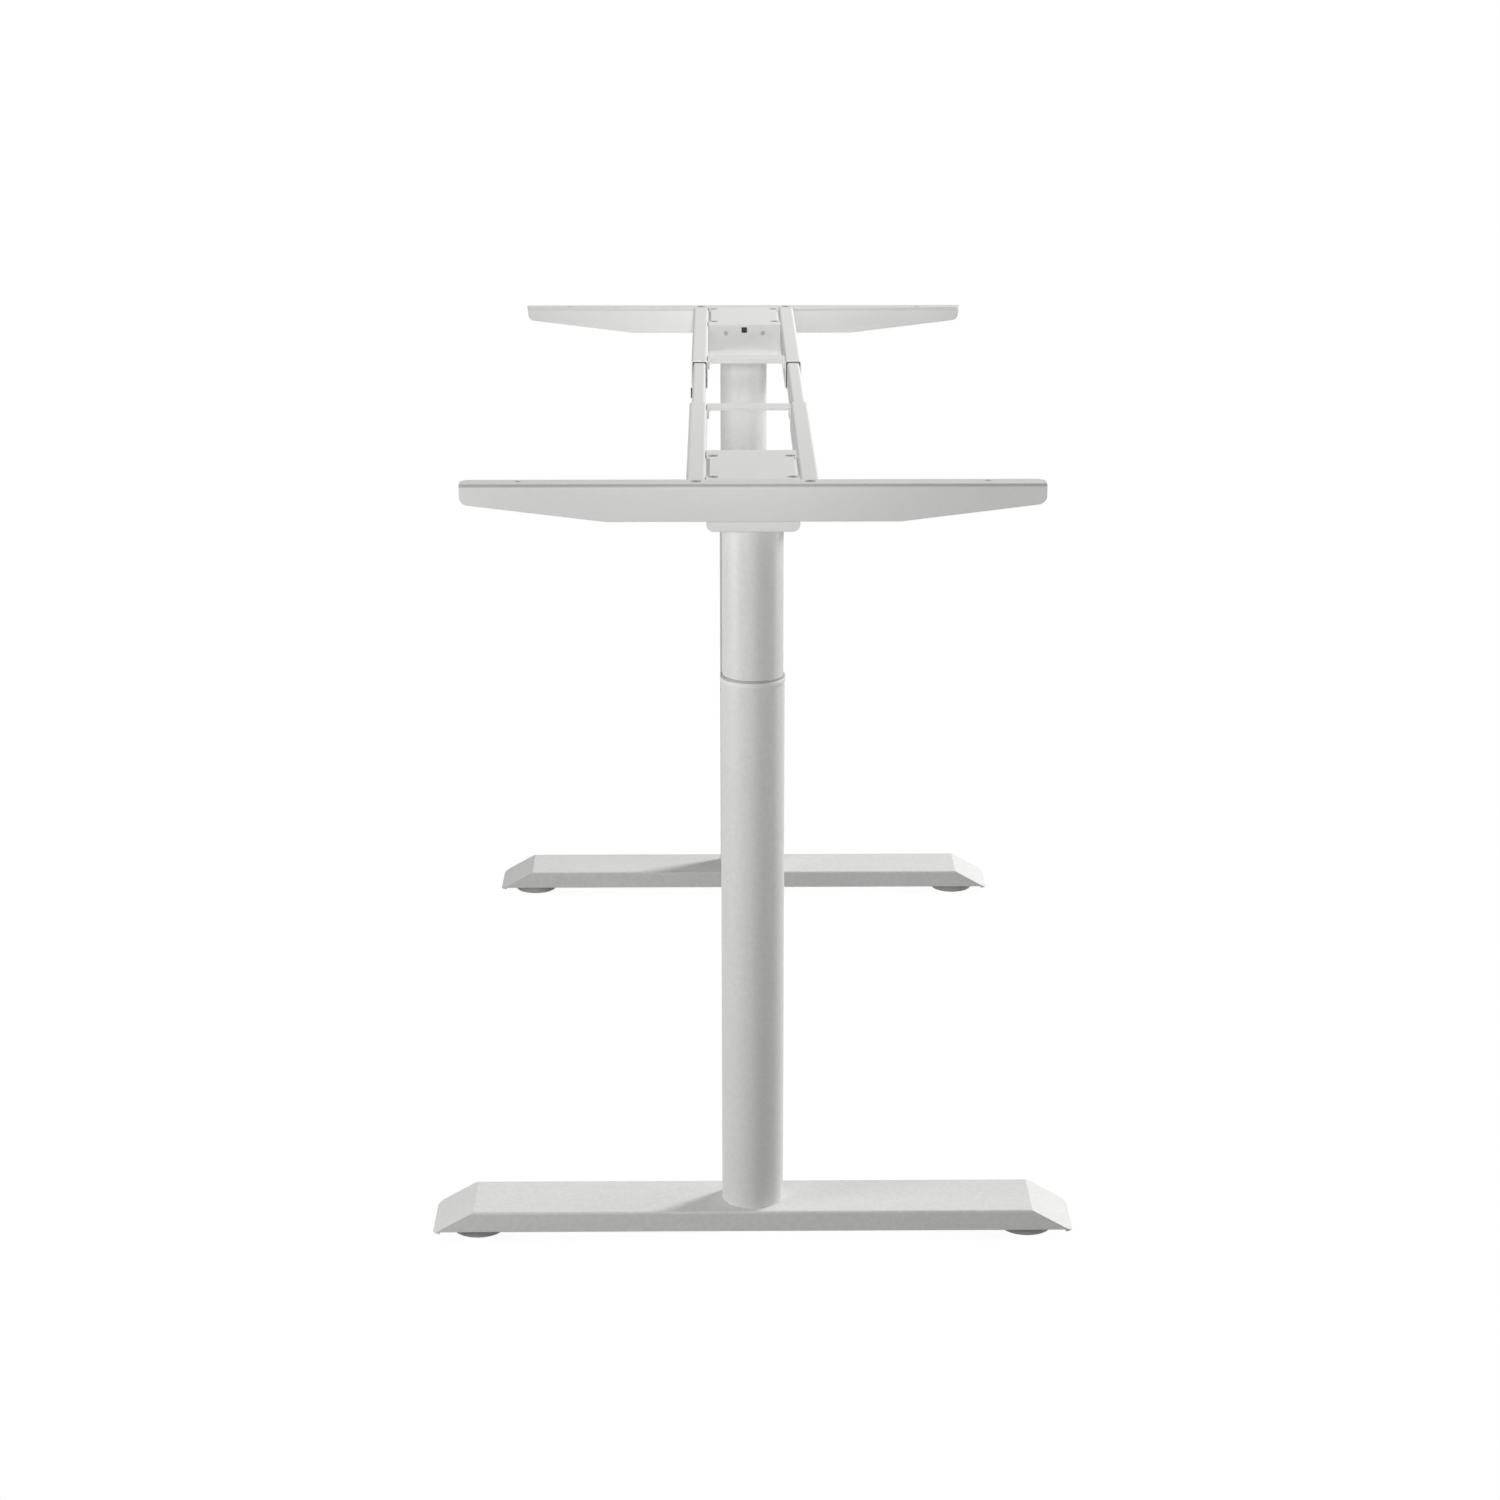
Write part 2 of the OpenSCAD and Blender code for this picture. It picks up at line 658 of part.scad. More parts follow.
// Pressed foot: a channel open below, with its ends sloping down to rounded tips
module foot() {
    bend_y = foot_w/2 - foot_bend_r;
    lip_len = foot_len - 2*tongue_drop/sin(foot_slope);
    tip_len = foot_len + 2*tongue_drop/tan(foot_slope);
    color("white") difference() {
        intersection() {
            along_y(-foot_w/2, foot_w/2) foot_side(0, tongue_z);
            along_x(2*foot_len) {
                translate([-foot_w/2, 0]) square([foot_w, foot_top - foot_bend_r]);
                translate([-bend_y, 0]) square([2*bend_y, foot_top]);
                for (side = [-1, 1]) translate([side*bend_y, foot_top - foot_bend_r]) circle(foot_bend_r);
            }
            translate([0, foot_w/2, 0]) linear_extrude(2*foot_top) round_rect(tip_len, foot_w, foot_corner_r);
        }
        along_y(foot_t - foot_w/2, foot_w/2 - foot_t) foot_side(foot_t, -overrun);
        translate([-lip_len/2, -foot_w, -overrun]) cube([lip_len, 2*foot_w, glide_h + overrun]);
        at_foot_bolts() translate([0, 0, foot_top - foot_t - overrun])
            cylinder(foot_t + 2*overrun, r = foot_bolt_hole_r);
    }
}

// Bolts up through the foot into the base plate
module foot_bolts() {
    socket_depth = foot_bolt_head_h*0.6;
    color("silver") at_foot_bolts() translate([0, 0, foot_top - foot_t]) difference() {
        union() {
            translate([0, 0, -foot_bolt_head_h]) cylinder(foot_bolt_head_h, d = foot_bolt_head_d);
            cylinder(foot_t + foot_bolt_reach, d = foot_bolt_d);
        }
        translate([0, 0, -foot_bolt_head_h - overrun])
            cylinder(socket_depth + overrun, d = foot_bolt_head_d*0.45, $fn = 6);
    }
}

// Cross plates with weld nuts, inside the foot over its glides
module nut_plates() {
    inner_w = foot_w - 2*foot_t;
    color("gray") for (side = [-1, 1]) translate([side*glide_x, 0, nut_plate_bottom]) difference() {
        union() {
            translate([-nut_plate_len/2, -inner_w/2, 0]) cube([nut_plate_len, inner_w, nut_plate_t]);
            translate([0, 0, nut_plate_t]) cylinder(weld_nut_h, d = weld_nut_d, $fn = 6);
        }
        translate([0, 0, -overrun])
            cylinder(nut_plate_t + weld_nut_h + 2*overrun, r = stud_d/2 + guide_gap);
    }
}

// Levelling glide: a disc, bevelled below, with a boss that stops against the nut plate
module glide(side) {
    bevel = (glide_d - glide_flat_d)/2;
    color("gainsboro") translate([side*glide_x, 0, 0]) difference() {
        union() {
            cylinder(bevel, glide_flat_d/2, glide_d/2);
            translate([0, 0, bevel]) cylinder(glide_disc_h - bevel, d = glide_d);
            translate([0, 0, glide_disc_h]) cylinder(nut_plate_bottom - glide_disc_h, d = glide_boss_d);
        }
        translate([0, 0, stud_seat]) cylinder(nut_plate_bottom, r = stud_d/2 + guide_gap);
    }
}

// Threaded stud of a glide
module stud(side) {
    color("silver") translate([side*glide_x, 0, stud_seat])
        cylinder(nut_plate_bottom + stud_reach - stud_seat, d = stud_d);
}

// Inner rail that slides in the near and the far sleeve rail
module centre_rail(side) {
    color("white") at_top() translate([side*rail_x, 0, -rail_wall - rail_top_gap]) difference() {
        along_y(-centre_rail_len/2, centre_rail_len/2) round_rect(centre_rail_w, centre_rail_h, sleeve_r - rail_wall/2);
        translate([0, 0, -rail_wall])
            along_y(-centre_rail_len/2 - overrun, centre_rail_len/2 + overrun)
                round_rect(centre_rail_w - 2*rail_wall, centre_rail_h - 2*rail_wall, sleeve_r/2 - rail_wall/2);
    }
}

near() bracket();  // near_bracket
near() housing();  // near_housing
near() cover();  // near_cover
near() upper_tube();  // near_upper_tube
near() guide_pads();  // near_guide_pads
near() gear_case();  // near_gear_case
near() motor();  // near_motor
near() spindle();  // near_spindle
near() sleeve(-1);  // near_left_sleeve
near() sleeve(1);  // near_right_sleeve
near() tie();  // near_tie
near() nut_blocks();  // near_nut_blocks
near() bracket_screws();  // near_bracket_screws
near() housing_screws();  // near_housing_screws
near() lock_screws();  // near_lock_screws
near() cable_socket();  // near_cable_socket
near() lower_tube();  // near_lower_tube
near() collar();  // near_collar
near() base_plate();  // near_base_plate
near() nut_tube();  // near_nut_tube
near() spindle_nut();  // near_spindle_nut
near() foot();  // near_foot
near() foot_bolts();  // near_foot_bolts
near() nut_plates();  // near_nut_plates
near() glide(-1);  // near_left_glide
near() stud(-1);  // near_left_stud
near() glide(1);  // near_right_glide
near() stud(1);  // near_right_stud
far() bracket();  // far_bracket
far() housing();  // far_housing
far() cover();  // far_cover
far() upper_tube();  // far_upper_tube
far() guide_pads();  // far_guide_pads
far() gear_case();  // far_gear_case
far() motor();  // far_motor
far() spindle();  // far_spindle
far() sleeve(-1);  // far_left_sleeve
far() sleeve(1);  // far_right_sleeve
far() tie();  // far_tie
far() nut_blocks();  // far_nut_blocks
far() bracket_screws();  // far_bracket_screws
far() housing_screws();  // far_housing_screws
far() lock_screws();  // far_lock_screws
far() cable_socket();  // far_cable_socket
far() lower_tube();  // far_lower_tube
far() collar();  // far_collar
far() base_plate();  // far_base_plate
far() nut_tube();  // far_nut_tube
far() spindle_nut();  // far_spindle_nut
far() foot();  // far_foot
far() foot_bolts();  // far_foot_bolts
far() nut_plates();  // far_nut_plates
far() glide(-1);  // far_left_glide
far() stud(-1);  // far_left_stud
far() glide(1);  // far_right_glide
far() stud(1);  // far_right_stud
centre_rail(-1);  // centre_rail_left
centre_rail(1);  // centre_rail_right
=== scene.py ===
import json
import math
import bmesh
import bpy
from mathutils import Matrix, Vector


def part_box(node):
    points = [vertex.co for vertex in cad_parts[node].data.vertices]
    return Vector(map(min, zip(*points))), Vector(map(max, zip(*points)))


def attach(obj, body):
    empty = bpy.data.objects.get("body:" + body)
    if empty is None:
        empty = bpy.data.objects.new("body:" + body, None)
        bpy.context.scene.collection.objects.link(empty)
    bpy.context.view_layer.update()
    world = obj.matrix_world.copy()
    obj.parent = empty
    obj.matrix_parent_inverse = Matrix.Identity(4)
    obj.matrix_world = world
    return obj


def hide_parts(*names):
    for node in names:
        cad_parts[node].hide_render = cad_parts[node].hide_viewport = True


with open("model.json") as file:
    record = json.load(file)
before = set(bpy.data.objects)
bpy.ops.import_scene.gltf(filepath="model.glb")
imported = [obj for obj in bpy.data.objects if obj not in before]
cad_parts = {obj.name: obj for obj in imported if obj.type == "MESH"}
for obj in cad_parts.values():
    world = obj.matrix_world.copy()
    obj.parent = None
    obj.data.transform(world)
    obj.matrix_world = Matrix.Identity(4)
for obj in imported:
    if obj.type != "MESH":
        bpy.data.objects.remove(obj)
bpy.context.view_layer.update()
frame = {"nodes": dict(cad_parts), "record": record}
nodes = frame["nodes"]
print("frame loaded:", len(nodes), "nodes")

# Small helpers


def toLinear(hexColour):
    # sRGB hex to the linear values that Blender's sockets take
    parts = [int(hexColour[i:i + 2], 16)/255 for i in (1, 3, 5)]
    linear = [c/12.92 if c <= 0.04045 else ((c + 0.055)/1.055)**2.4 for c in parts]
    return (*linear, 1.0)


def noiseScale(grainMm):
    # The noise texture's scale for grains about this many millimetres across
    return 1000/grainMm/2


def addNode(tree, kind, settings=None, links=None):
    # One node with its settings (attributes or sockets) and its incoming links
    node = tree.nodes.new(kind)
    for name, value in (settings or {}).items():
        if name in node.inputs:
            node.inputs[name].default_value = value
        else:
            setattr(node, name, value)
    for name, socket in (links or {}).items():
        tree.links.new(socket, node.inputs[name])
    return node


def newMaterial(name):
    material = bpy.data.materials.new(name)
    material.use_nodes = True
    material.node_tree.nodes.clear()
    return material, material.node_tree


# Camera, solved from the outlines of the frame in the photograph

camera = {
    "position": (-0.0352, -3.6685, 1.4523),  # metres, in the frame of the CAD
    "yaw": 0.597,  # degrees to the right of +Y
    "pitch": 16.465,  # degrees below the horizon
    "focalPixels": 3147.4,
    "imagePixels": 1500,
    "sensorWidth": 36.0,  # millimetres
    "nearest": 0.05,  # metres, like farthest: what lies between them is drawn
    "farthest": 200,
}


def makeCamera():
    data = bpy.data.cameras.new("camera")
    data.sensor_fit = "HORIZONTAL"
    data.sensor_width = camera["sensorWidth"]
    data.lens = camera["focalPixels"]/camera["imagePixels"]*camera["sensorWidth"]
    data.clip_start = camera["nearest"]
    data.clip_end = camera["farthest"]
    eye = bpy.data.objects.new("camera", data)
    yaw = math.radians(camera["yaw"])
    pitch = math.radians(camera["pitch"])
    look = Vector((math.sin(yaw)*math.cos(pitch), math.cos(yaw)*math.cos(pitch), -math.sin(pitch)))
    eye.location = camera["position"]
    eye.rotation_euler = look.to_track_quat("-Z", "Y").to_euler()
    bpy.context.scene.collection.objects.link(eye)
    bpy.context.scene.camera = eye


makeCamera()
print("camera placed")

# Studio: a pale floor, a white surround and soft lamps

studio = {
    "floorSize": 60.0,  # metres
    "floorGap": 0.0005,  # metres between the floor and the glides that stand on it
    "floorColour": "#C8C8C8",
    "floorShade": 0.13,  # share of the floor's white that is real light, and so can be shaded
    "floorBounce": 0.1,  # light that the floor throws back up at the frame
    "surround": 0.15,  # strength of the white surround as light
    "coneBlend": 0.9,  # how softly a spot's cone ends
}

# Places in metres, power in watts; +X is the photo's right and +Y leads away from the camera.
# A lamp with a cone, in degrees, is a spot.
lamps = {
    # Level light on the faces toward the camera and on both flanks
    "frontLevelLamp": {"place": (-0.2, -2.1, 1.05), "aim": (0, 0, 0.85), "power": 9.3, "size": 0.7},
    "leftLevelLamp": {"place": (-1.9, -1.2, 0.75), "aim": (0, -0.2, 0.65), "power": 19.8,
                      "size": 0.8},
    "rightLevelLamp": {"place": (2.2, -0.1, 0.6), "aim": (0, -0.2, 0.6), "power": 13.0,
                       "size": 0.8},
    # Narrow spots past and over the near end, for the far one
    "farLeftLamp": {"place": (-1.05, -2.6, 0.74), "aim": (-0.2, 0.57, 0.79), "power": 71,
                    "size": 0.12, "cone": 9},
    "farRightLamp": {"place": (1.05, -2.6, 0.74), "aim": (0.2, 0.57, 0.79), "power": 76,
                     "size": 0.12, "cone": 9},
    "farLamp": {"place": (0.0, -2.6, 1.5), "aim": (0, 0.5, 0.78), "power": 133, "size": 0.15,
                "cone": 10},
    # High behind on the right, for the upper faces
    "rimLamp": {"place": (4.2, 3.0, 4.2), "aim": (0, 0, 0.3), "power": 345, "size": 1.1},
}


def whereSeen(tree):
    # 1 where the eye meets a surface, straight, mirrored or through something clear, and 0 where
    # it only throws light
    path = addNode(tree, "ShaderNodeLightPath")
    mirrored = addNode(tree, "ShaderNodeMath", {"operation": "MAXIMUM"},
                       {0: path.outputs["Is Camera Ray"], 1: path.outputs["Is Glossy Ray"]})
    seen = addNode(tree, "ShaderNodeMath", {"operation": "MAXIMUM"},
                   {0: mirrored.outputs[0], 1: path.outputs["Is Transmission Ray"]})
    return seen.outputs[0]


def makeSurround():
    world = bpy.data.worlds.new("whiteSurround")
    bpy.context.scene.world = world
    world.use_nodes = True
    tree = world.node_tree
    tree.nodes.clear()
    # Plain white to the eye, and dimmer as light
    strength = addNode(tree, "ShaderNodeMapRange", {"To Min": studio["surround"], "To Max": 1.0},
                       {"Value": whereSeen(tree)})
    glow = addNode(tree, "ShaderNodeBackground", {"Color": toLinear("#FFFFFF")},
                   {"Strength": strength.outputs[0]})
    addNode(tree, "ShaderNodeOutputWorld", None, {"Surface": glow.outputs[0]})


def makeFloor():
    half = studio["floorSize"]/2
    mesh = bpy.data.meshes.new("floor")
    corners = [(-half, -half, 0), (half, -half, 0), (half, half, 0), (-half, half, 0)]
    mesh.from_pydata(corners, [], [(0, 1, 2, 3)])
    floor = bpy.data.objects.new("floor", mesh)
    floor.location = (0, 0, -studio["floorGap"])
    bpy.context.scene.collection.objects.link(floor)
    material, tree = newMaterial("paleStudioFloor")
    # To the eye, the surround's light on it gives the shadow and a glow lifts the rest to white
    shade = studio["floorShade"]/studio["surround"]
    lit = addNode(tree, "ShaderNodeBsdfDiffuse", {"Color": (shade, shade, shade, 1)})
    white = addNode(tree, "ShaderNodeEmission", {"Strength": 1 - studio["floorShade"]})
    seen = addNode(tree, "ShaderNodeAddShader", None, {0: lit.outputs[0], 1: white.outputs[0]})
    # To the frame above it, a pale floor with a faint glow
    pale = addNode(tree, "ShaderNodeBsdfDiffuse", {"Color": toLinear(studio["floorColour"])})
    bounce = addNode(tree, "ShaderNodeEmission", {"Strength": studio["floorBounce"]})
    real = addNode(tree, "ShaderNodeAddShader", None, {0: pale.outputs[0], 1: bounce.outputs[0]})
    choice = addNode(tree, "ShaderNodeMixShader", None,
                     {0: whereSeen(tree), 1: real.outputs[0], 2: seen.outputs[0]})
    # From below it is clear
    geometry = addNode(tree, "ShaderNodeNewGeometry")
    clear = addNode(tree, "ShaderNodeBsdfTransparent")
    oneSided = addNode(tree, "ShaderNodeMixShader", None,
                       {0: geometry.outputs["Backfacing"], 1: choice.outputs[0],
                        2: clear.outputs[0]})
    addNode(tree, "ShaderNodeOutputMaterial", None, {"Surface": oneSided.outputs[0]})
    material.cycles.emission_sampling = "NONE"  # sampled as a lamp, the glow would speckle
    mesh.materials.append(material)
    # It goes down and up with a glide, so the feet stand on it in every pose
    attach(floor, "near_left_glide")
    return floor


def makeLamps(floor):
    # The lamps light the frame alone, and the floor has only the surround's light
    notFloor = bpy.data.collections.new("litByLamps")
    notFloor.objects.link(floor)
    notFloor.collection_objects[0].light_linking.link_state = "EXCLUDE"
    for name, lamp in lamps.items():
        data = bpy.data.lights.new(name, "SPOT" if "cone" in lamp else "AREA")
        if "cone" in lamp:
            data.spot_size = math.radians(lamp["cone"])
            data.spot_blend = studio["coneBlend"]
            data.shadow_soft_size = lamp["size"]
        else:
            data.shape = "SQUARE"
            data.size = lamp["size"]
        data.energy = lamp["power"]
        light = bpy.data.objects.new(name, data)
        light.location = lamp["place"]
        look = Vector(lamp["aim"]) - Vector(lamp["place"])
        light.rotation_euler = look.to_track_quat("-Z", "Y").to_euler()
        light.visible_camera = False
        bpy.context.scene.collection.objects.link(light)
        light.light_linking.receiver_collection = notFloor


makeSurround()
makeLamps(makeFloor())
print("studio made")

# Materials, each named for what the real one is and how it was finished

powderCoat = {
    "colour": "#E0E0DE",
    "roughness": 0.42,
    "roughnessSwing": 0.04,  # how far the roughness drifts either way along a piece
    "ior": 1.5,
    "grainMm": 0.9,  # orange peel of the cured powder
    "grainDepthMm": 0.035,
    "mottleMm": 2.4,  # the real sandy fleck is about 0.5 mm, drawn coarse enough to show
    "mottleDepthMm": 0.07,
    "mottle": 0.02,  # how far the fleck darkens the coat
    "cloudScale": 14.0,  # patches of tone about 35 mm across
    "cloud": 0.02,  # how far they darken the coat
    "edgeMm": 0.6,  # the coat softens a sheet's edges by this radius
    "edgeSamples": 4,
    "paintedBendShade": 0.0,  # painted shade: how far the colour is darkened round a level bend, for the shade seen along it
}


def texturedPowderCoat(name, settings):
    # Cured powder on pressed steel: a fine orange peel that breaks up the highlights, with a
    # faint sandy fleck
    material, tree = newMaterial(name)
    place = addNode(tree, "ShaderNodeTexCoord")
    spot = place.outputs["Object"]
    peel = addNode(tree, "ShaderNodeTexNoise",
                   {"Scale": noiseScale(settings["grainMm"]), "Detail": 3.0, "Roughness": 0.6},
                   {"Vector": spot})
    fleck = addNode(tree, "ShaderNodeTexNoise",
                    {"Scale": noiseScale(settings["mottleMm"]), "Detail": 1.0}, {"Vector": spot})
    cloud = addNode(tree, "ShaderNodeTexNoise", {"Scale": settings["cloudScale"], "Detail": 2.0},
                    {"Vector": spot})
    span = {"From Min": 0.3, "From Max": 0.7, "To Max": 1.0}  # most of a noise lies in it
    fleckShade = addNode(tree, "ShaderNodeMapRange", {**span, "To Min": 1 - settings["mottle"]},
                         {"Value": fleck.outputs["Fac"]})
    cloudShade = addNode(tree, "ShaderNodeMapRange", {**span, "To Min": 1 - settings["cloud"]},
                         {"Value": cloud.outputs["Fac"]})
    shade = addNode(tree, "ShaderNodeMath", {"operation": "MULTIPLY"},
                    {0: fleckShade.outputs[0], 1: cloudShade.outputs[0]})
    if settings["paintedBendShade"]:
        # Painted shade: the colour darkens where the surface turns between level and upright across
        # Y, which reads as a thin darker line along the bend
        geometry = addNode(tree, "ShaderNodeNewGeometry")
        facing = addNode(tree, "ShaderNodeSeparateXYZ", None, {0: geometry.outputs["Normal"]})
        slant = addNode(tree, "ShaderNodeMath", {"operation": "MULTIPLY"},
                        {0: facing.outputs["Y"], 1: facing.outputs["Z"]})
        slantSize = addNode(tree, "ShaderNodeMath", {"operation": "ABSOLUTE"},
                            {0: slant.outputs[0]})
        bend = addNode(tree, "ShaderNodeMapRange",
                       {"From Min": 0.1, "From Max": 0.4, "To Min": 1.0,
                        "To Max": 1 - settings["paintedBendShade"]}, {"Value": slantSize.outputs[0]})
        shade = addNode(tree, "ShaderNodeMath", {"operation": "MULTIPLY"},
                        {0: shade.outputs[0], 1: bend.outputs[0]})
    # A colour mix has its factor at 0, its colours at 6 and 7, and its result at 2
    tone = addNode(tree, "ShaderNodeMix", {"data_type": "RGBA", "blend_type": "MULTIPLY"})
    tone.inputs[0].default_value = 1.0
    tone.inputs[6].default_value = toLinear(settings["colour"])
    tree.links.new(shade.outputs[0], tone.inputs[7])
    soft = addNode(tree, "ShaderNodeBevel",
                   {"samples": settings["edgeSamples"], "Radius": settings["edgeMm"]/1000})
    sandy = addNode(tree, "ShaderNodeBump",
                    {"Strength": 0.5, "Distance": settings["mottleDepthMm"]/1000},
                    {"Height": fleck.outputs["Fac"], "Normal": soft.outputs[0]})
    bump = addNode(tree, "ShaderNodeBump",
                   {"Strength": 0.6, "Distance": settings["grainDepthMm"]/1000},
                   {"Height": peel.outputs["Fac"], "Normal": sandy.outputs[0]})
    swing = settings["roughnessSwing"]
    rough = addNode(tree, "ShaderNodeMapRange", {"To Min": settings["roughness"] - swing,
                                                 "To Max": settings["roughness"] + swing},
                    {"Value": cloud.outputs["Fac"]})
    coat = addNode(tree, "ShaderNodeBsdfPrincipled", {"IOR": settings["ior"]},
                   {"Base Color": tone.outputs[2], "Roughness": rough.outputs[0],
                    "Normal": bump.outputs[0]})
    addNode(tree, "ShaderNodeOutputMaterial", None, {"Surface": coat.outputs[0]})
    return material


plasticSkin = {
    "ior": 1.5,
    "grainDepthMm": 0.02,
    "roughnessSwing": 0.05,  # how far the grain moves the roughness either way
}


def mouldedPlastic(name, hexColour, roughness, grainMm):
    # Moulded nylon, acetal or rubber: even colour with the faint spark-eroded grain of its
    # mould. The motor can's lacquer lies as evenly.
    material, tree = newMaterial(name)
    place = addNode(tree, "ShaderNodeTexCoord")
    grain = addNode(tree, "ShaderNodeTexNoise", {"Scale": noiseScale(grainMm), "Detail": 2.0},
                    {"Vector": place.outputs["Object"]})
    bump = addNode(tree, "ShaderNodeBump",
                   {"Strength": 0.4, "Distance": plasticSkin["grainDepthMm"]/1000},
                   {"Height": grain.outputs["Fac"]})
    swing = plasticSkin["roughnessSwing"]
    rough = addNode(tree, "ShaderNodeMapRange",
                    {"To Min": roughness - swing, "To Max": roughness + swing},
                    {"Value": grain.outputs["Fac"]})
    plastic = addNode(tree, "ShaderNodeBsdfPrincipled",
                      {"Base Color": toLinear(hexColour), "IOR": plasticSkin["ior"]},
                      {"Roughness": rough.outputs[0], "Normal": bump.outputs[0]})
    addNode(tree, "ShaderNodeOutputMaterial", None, {"Surface": plastic.outputs[0]})
    return material


metalSkin = {
    "grainDepthMm": 0.01,
    "roughnessSwing": 0.08,  # how far the grain moves the roughness either way
    "threadDepth": 0.6,  # depth of a thread, as a share of its spacing
}


def bareMetal(name, hexColour, roughness, grainMm, threadMm=0):
    # Zinc plated or rolled steel, or die-cast aluminium: metal whose fine grain varies the
    # gloss, with the level ribs of a rolled thread where it has one
    material, tree = newMaterial(name)
    place = addNode(tree, "ShaderNodeTexCoord")
    grain = addNode(tree, "ShaderNodeTexNoise", {"Scale": noiseScale(grainMm), "Detail": 4.0},
                    {"Vector": place.outputs["Object"]})
    bump = addNode(tree, "ShaderNodeBump",
                   {"Strength": 0.3, "Distance": metalSkin["grainDepthMm"]/1000},
                   {"Height": grain.outputs["Fac"]})
    if threadMm:
        waveScale = math.tau*1000/threadMm/20  # a wave texture of scale 1 repeats in tau/20 metres
        ribs = addNode(tree, "ShaderNodeTexWave",
                       {"wave_type": "BANDS", "bands_direction": "Z", "wave_profile": "TRI",
                        "Scale": waveScale}, {"Vector": place.outputs["Object"]})
        bump = addNode(tree, "ShaderNodeBump",
                       {"Strength": 1.0, "Distance": threadMm*metalSkin["threadDepth"]/1000},
                       {"Height": ribs.outputs["Fac"], "Normal": bump.outputs[0]})
    swing = metalSkin["roughnessSwing"]
    rough = addNode(tree, "ShaderNodeMapRange",
                    {"To Min": roughness - swing, "To Max": roughness + swing},
                    {"Value": grain.outputs["Fac"]})
    metal = addNode(tree, "ShaderNodeBsdfPrincipled",
                    {"Base Color": toLinear(hexColour), "Metallic": 1.0},
                    {"Roughness": rough.outputs[0], "Normal": bump.outputs[0]})
    addNode(tree, "ShaderNodeOutputMaterial", None, {"Surface": metal.outputs[0]})
    return material


# Plastics and metals take a colour, a roughness, a grain and any thread's spacing in millimetres
finishes = {
    # The brackets' coat carries painted shade along its bends
    "bracket_paint": texturedPowderCoat("bracketPowderCoat", {**powderCoat, "paintedBendShade": 0.25}),
    "housing_paint": texturedPowderCoat("housingPowderCoat", {**powderCoat, "colour": "#EAEAE8"}),
    "rail_paint": texturedPowderCoat("railPowderCoat", {**powderCoat, "colour": "#E6E6E4"}),
    "column_paint": texturedPowderCoat("columnPowderCoat", {**powderCoat, "mottle": 0.05}),
    "foot_paint": texturedPowderCoat("footPowderCoat", {**powderCoat, "mottle": 0.07}),
    "guide_plastic": mouldedPlastic("acetalGuidePads", "#2B2B2B", 0.45, 0.5),
    "collar_plastic": mouldedPlastic("mouldedNylonCollar", "#E6E6E4", 0.5, 0.5),
    "cast_metal": bareMetal("dieCastAluminium", "#B9B9BA", 0.5, 0.8),
    "motor_metal": mouldedPlastic("blackLacqueredMotorCan", "#303032", 0.4, 0.6),
    "bright_steel": bareMetal("rolledSpindleSteel", "#C4C4C2", 0.3, 0.4, 5.0),
    "zinc_steel": bareMetal("zincPlatedSteel", "#A9AAAC", 0.38, 0.5),
    "stud_steel": bareMetal("rolledStudThread", "#A9AAAC", 0.38, 0.5, 1.25),
    "screw_steel": bareMetal("zincPlatedScrews", "#858688", 0.42, 0.4),
    "lock_plastic": mouldedPlastic("nylonLockScrewHead", "#3A3A3A", 0.5, 0.5),
    "black_plastic": mouldedPlastic("blackNylonSocket", "#1C1C1C", 0.45, 0.4),
    "nut_plastic": mouldedPlastic("acetalSpindleNut", "#E2DCC4", 0.4, 0.5),
    "glide_plastic": mouldedPlastic("mouldedNylonGlides", "#B4B4B2", 0.5, 0.6),
    # The wiper ring's grey is painted shade, standing in for the dark line where the upper tube
    # enters the collar
    "wiper_plastic": mouldedPlastic("mouldedWiperRingPaintedShade", "#B0B0AE", 0.6, 0.4),
}


def dressNodes():
    slots = {part["node"]: part["material_slot"] for part in frame["record"]["subparts"]}
    for name, node in nodes.items():
        # The glides' studs are zinc plated like other pieces, and show a thread of their own
        finish = "stud_steel" if name.endswith("_stud") else slots[name]
        node.data.materials.clear()
        node.data.materials.append(finishes[finish])


dressNodes()
print("materials set")

# Turned pieces: the glides and guide collars with finer edges than the nodes they replace

turning = {
    "steps": 96,  # facets round a piece
    "cornerPoints": 5,  # points along a rounded corner
    "sharpAngle": 35,  # degrees; a sharper edge keeps its crease
}


def boxMm(node):
    # Lowest and highest corner of a node, in millimetres
    return [[c*1000 for c in corner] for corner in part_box(node)]


def axisPlace(low, high):
    # Where an upright axis through the middle of a box stands, in metres
    return (low[0] + high[0])/2000, (low[1] + high[1])/2000


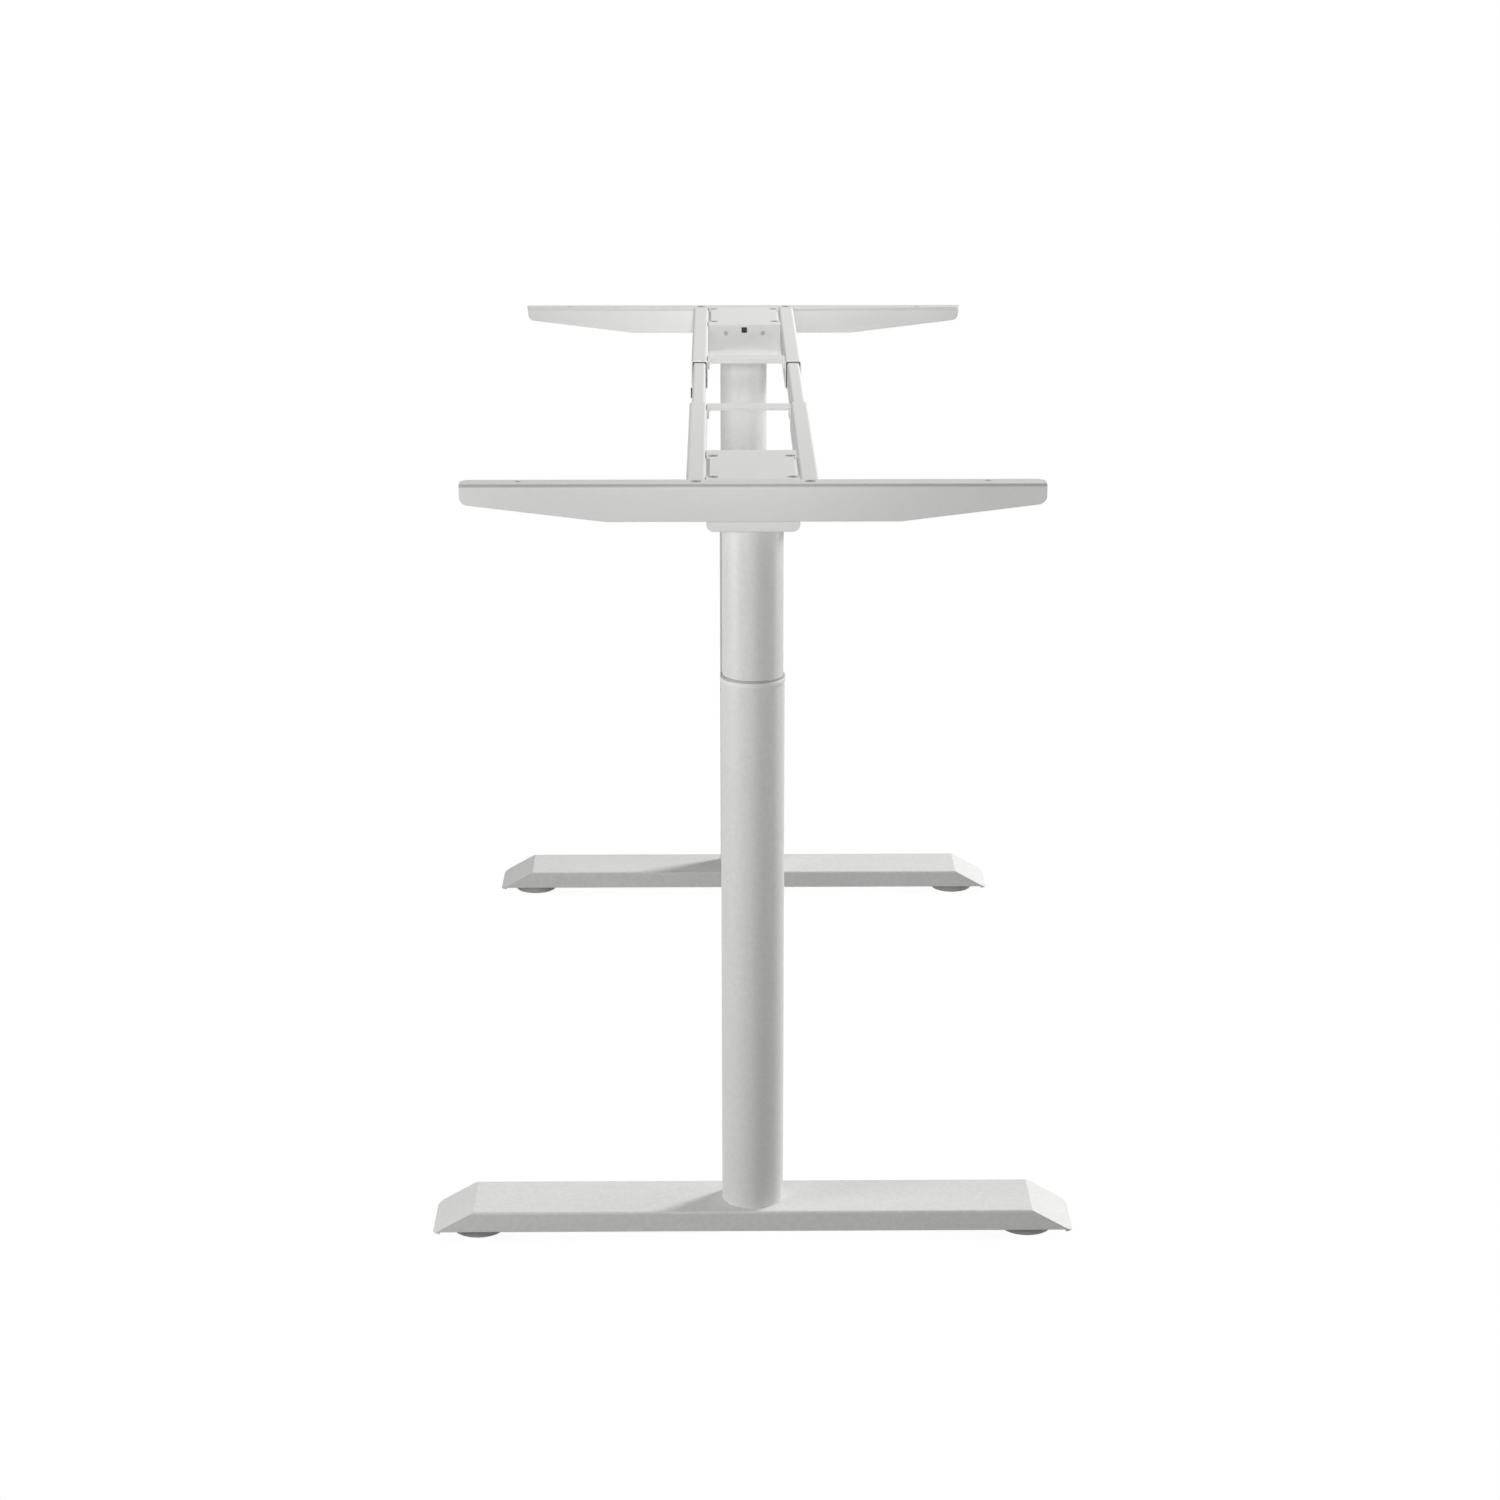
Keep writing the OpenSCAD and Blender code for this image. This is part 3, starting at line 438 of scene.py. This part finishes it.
def turnedPiece(name, centre, profile, slots, steps=turning["steps"]):
    # Turns a closed profile round an upright axis. Its points give radius and height in
    # millimetres, and which of the slots starts there.
    shape = bmesh.new()
    rings = []
    for radius, height, _ in profile:
        if radius == 0:
            rings.append([shape.verts.new((centre[0], centre[1], height/1000))]*steps)
            continue
        turns = [math.tau*k/steps for k in range(steps)]
        rings.append([shape.verts.new((centre[0] + radius/1000*math.cos(turn),
                                       centre[1] + radius/1000*math.sin(turn), height/1000))
                      for turn in turns])
    for i, (_, _, slot) in enumerate(profile):
        low, high = rings[i], rings[(i + 1) % len(profile)]
        for k in range(steps):
            after = (k + 1) % steps
            corners = list(dict.fromkeys([low[k], low[after], high[after], high[k]]))
            if len(corners) > 2:
                face = shape.faces.new(corners)
                face.material_index = slot
                face.smooth = True
    bmesh.ops.recalc_face_normals(shape, faces=shape.faces)
    mesh = bpy.data.meshes.new(name)
    shape.to_mesh(mesh)
    shape.free()
    for slotName in slots:
        mesh.materials.append(finishes[slotName])
    mesh.set_sharp_from_angle(angle=math.radians(turning["sharpAngle"]))
    piece = bpy.data.objects.new(name, mesh)
    bpy.context.scene.collection.objects.link(piece)
    return piece


def arcPoints(radius, height, size, start, stop, slot=0):
    # Points of a rounded corner round its centre, between two angles in degrees
    count = turning["cornerPoints"]
    angles = [math.radians(start + (stop - start)*i/(count - 1)) for i in range(count)]
    return [(radius + size*math.cos(angle), height + size*math.sin(angle), slot) for angle in angles]


# Levelling glide: a disc that stands on the floor, and its boss
glide = {
    "edgeMm": 1.3,  # rounding of the disc's lower edge
    "topEdgeMm": 1.0,  # rounding of the disc's upper edge
    "discMm": 9.0,  # height of the disc
    "bossMm": 20.0,  # diameter of the boss
    "neckMm": 1.2,  # fillet between disc and boss
    "seatMm": 3.0,  # floor of the stud's bore
    "boreMm": 8.1,  # diameter of the stud's bore
}


def makeGlides():
    edge, topEdge, neck = glide["edgeMm"], glide["topEdgeMm"], glide["neckMm"]
    boss = glide["bossMm"]/2
    bore = glide["boreMm"]/2
    for end in ("near", "far"):
        for side in ("left", "right"):
            node = f"{end}_{side}_glide"
            low, high = boxMm(node)
            radius = (high[0] - low[0])/2
            discTop = low[2] + glide["discMm"]
            seat = low[2] + glide["seatMm"]
            profile = [(0, low[2], 0)]
            profile += arcPoints(radius - edge, low[2] + edge, edge, -90, 0)
            profile += arcPoints(radius - topEdge, discTop - topEdge, topEdge, 0, 90)
            profile += arcPoints(boss + neck, discTop + neck, neck, 270, 180)
            profile += [(boss, high[2], 0), (bore, high[2], 0), (bore, seat, 0), (0, seat, 0)]
            piece = turnedPiece(f"{end}{side.capitalize()}GlideTurned", axisPlace(low, high),
                                profile, ["glide_plastic"])
            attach(piece, node)
            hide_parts(node)


# Guide collar: a pale skirt round the lower tube, and a grey wiper ring set back above it; the
# ring's grey is painted shade for the dark line where the upper tube enters
collar = {
    "steps": 128,  # facets round it
    "wallMm": 0.85,  # wall of the skirt
    "skirtMm": 3.7,  # height of the skirt below the tube's rim
    "shoulderMm": 0.8,  # height of the skirt's shoulder above the rim
    "edgeMm": 0.3,  # rounding of its edges
    "setBackMm": 0.9,  # how far the wiper ring lies inside the skirt
    "waistMm": 0.25,  # how far the wiper ring draws in at half its height
    "boreGapMm": 0.05,  # gap between the wiper ring and the upper tube
}


def makeCollars():
    edge = collar["edgeMm"]
    for end in ("near", "far"):
        node = f"{end}_collar"
        low, high = boxMm(node)
        tubeLow, tubeHigh = boxMm(f"{end}_upper_tube")
        radius = (high[0] - low[0])/2
        inner = radius - collar["wallMm"]
        bore = (tubeHigh[0] - tubeLow[0])/2 + collar["boreGapMm"]
        rim = low[2] + collar["skirtMm"]
        shoulder = rim + collar["shoulderMm"]
        ring = radius - collar["setBackMm"]
        profile = [(inner, low[2], 0)]
        profile += arcPoints(radius - edge, low[2] + edge, edge, -90, 0)
        profile += arcPoints(radius - edge, shoulder - edge, edge, 0, 90)
        profile += [(ring, shoulder, 1), (ring - collar["waistMm"], (shoulder + high[2])/2, 1)]
        profile += arcPoints(ring - edge, high[2] - edge, edge, 0, 90, 1)
        profile += [(bore, high[2], 1), (bore, rim, 0), (inner, rim, 0)]
        piece = turnedPiece(f"{end}CollarTurned", axisPlace(low, high), profile,
                            ["collar_plastic", "wiper_plastic"], collar["steps"])
        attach(piece, f"{end}_leg")
        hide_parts(node)


makeGlides()
makeCollars()
print("glides and collars turned")

bpy.context.scene.view_settings.view_transform = "Standard"
print("scene done")
